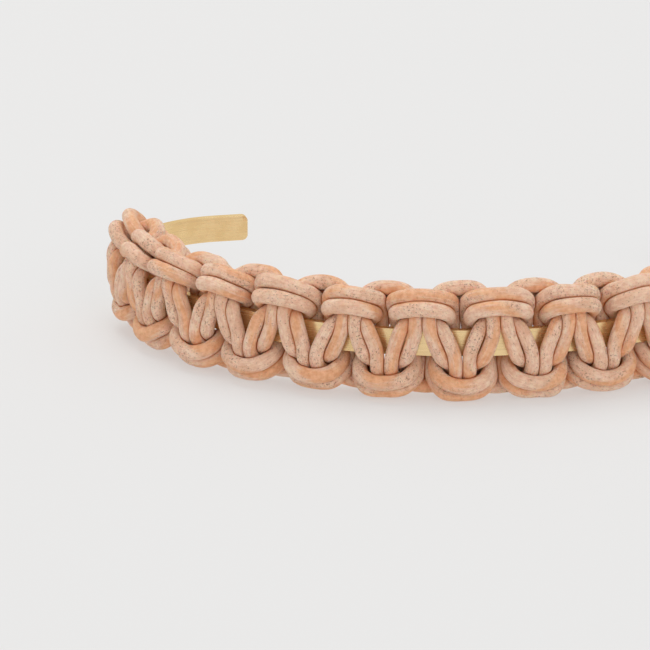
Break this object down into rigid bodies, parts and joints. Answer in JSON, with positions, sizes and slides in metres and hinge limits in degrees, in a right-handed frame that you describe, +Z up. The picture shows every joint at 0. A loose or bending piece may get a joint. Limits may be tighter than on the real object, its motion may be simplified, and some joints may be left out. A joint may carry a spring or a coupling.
{
  "type": "headband",
  "caption": "Open C-shaped headband: a flat brass strip with bare rounded tips, braided over along its middle with round leather cord.",
  "frame": {"origin": "on the surface that it stands on, under the middle of its outline", "axes": "+X along the widest part of the open C, +Y from the braided front towards the open back and the bare tips, +Z up across the width of the strip"},
  "size_m": [0.1618, 0.0945, 0.0245],
  "materials": {
    "brass": "satin, lightly brushed along the strip",
    "leather": "undyed vegetable-tanned round cord, matt, with a rough flesh side and a smoother tan grain side"
  },
  "bodies": {
    "root": {"brass_band": "brass", "front_cord_a": "leather", "front_cord_b": "leather", "back_cord_a": "leather", "back_cord_b": "leather"}
  },
  "joints": []
}
